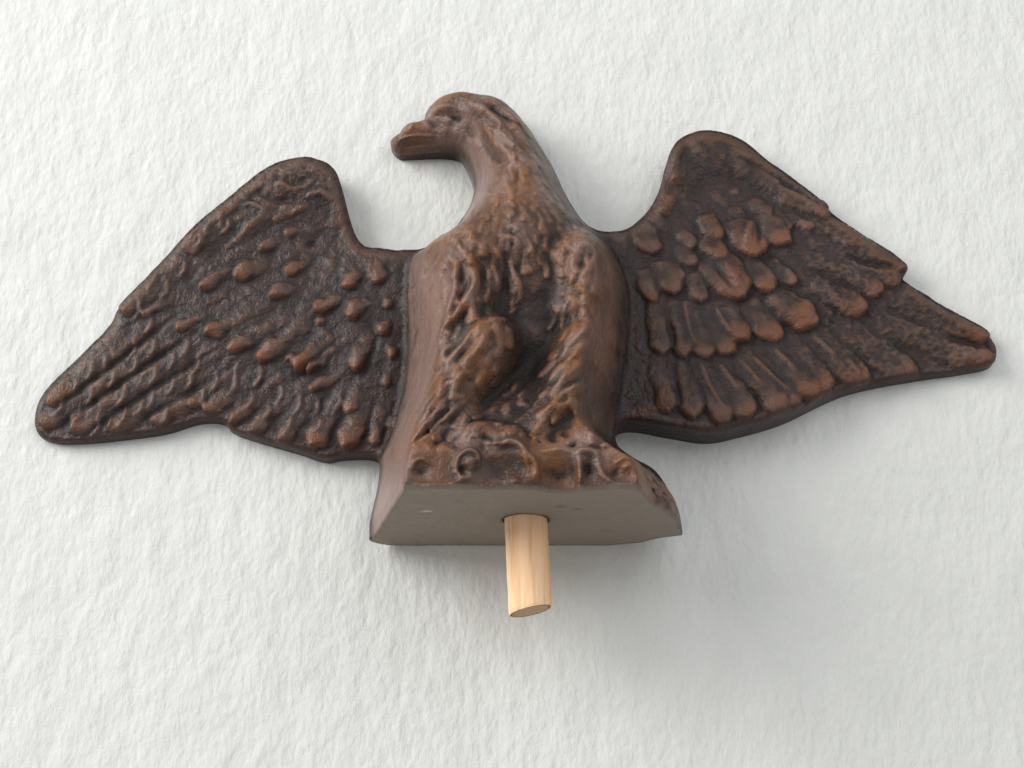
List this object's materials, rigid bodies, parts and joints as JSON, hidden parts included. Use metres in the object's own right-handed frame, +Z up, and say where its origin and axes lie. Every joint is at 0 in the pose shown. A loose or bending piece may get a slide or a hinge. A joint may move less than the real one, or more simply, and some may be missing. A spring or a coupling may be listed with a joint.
{
  "type": "eagle crest ornament",
  "caption": "Flat-backed cast eagle with spread wings and head turned to the side, standing on a rock base with a wooden peg in its underside.",
  "frame": {"origin": "on the wooden peg's axis, in the plane of the base's underside", "axes": "+Z up through the eagle's head, +X towards the wing on the right as seen from the front, +Y out of the flat back; the relief faces -Y"},
  "size_m": [0.2316, 0.047, 0.1391],
  "materials": {
    "cast_composition": "dark brown cast composition with a dull sheen, rubbed to copper brown on the raised feathers",
    "dowel_wood": "bare tan hardwood dowel, unvarnished"
  },
  "bodies": {
    "root": {"eagle": "cast_composition", "peg": "dowel_wood"}
  },
  "joints": []
}
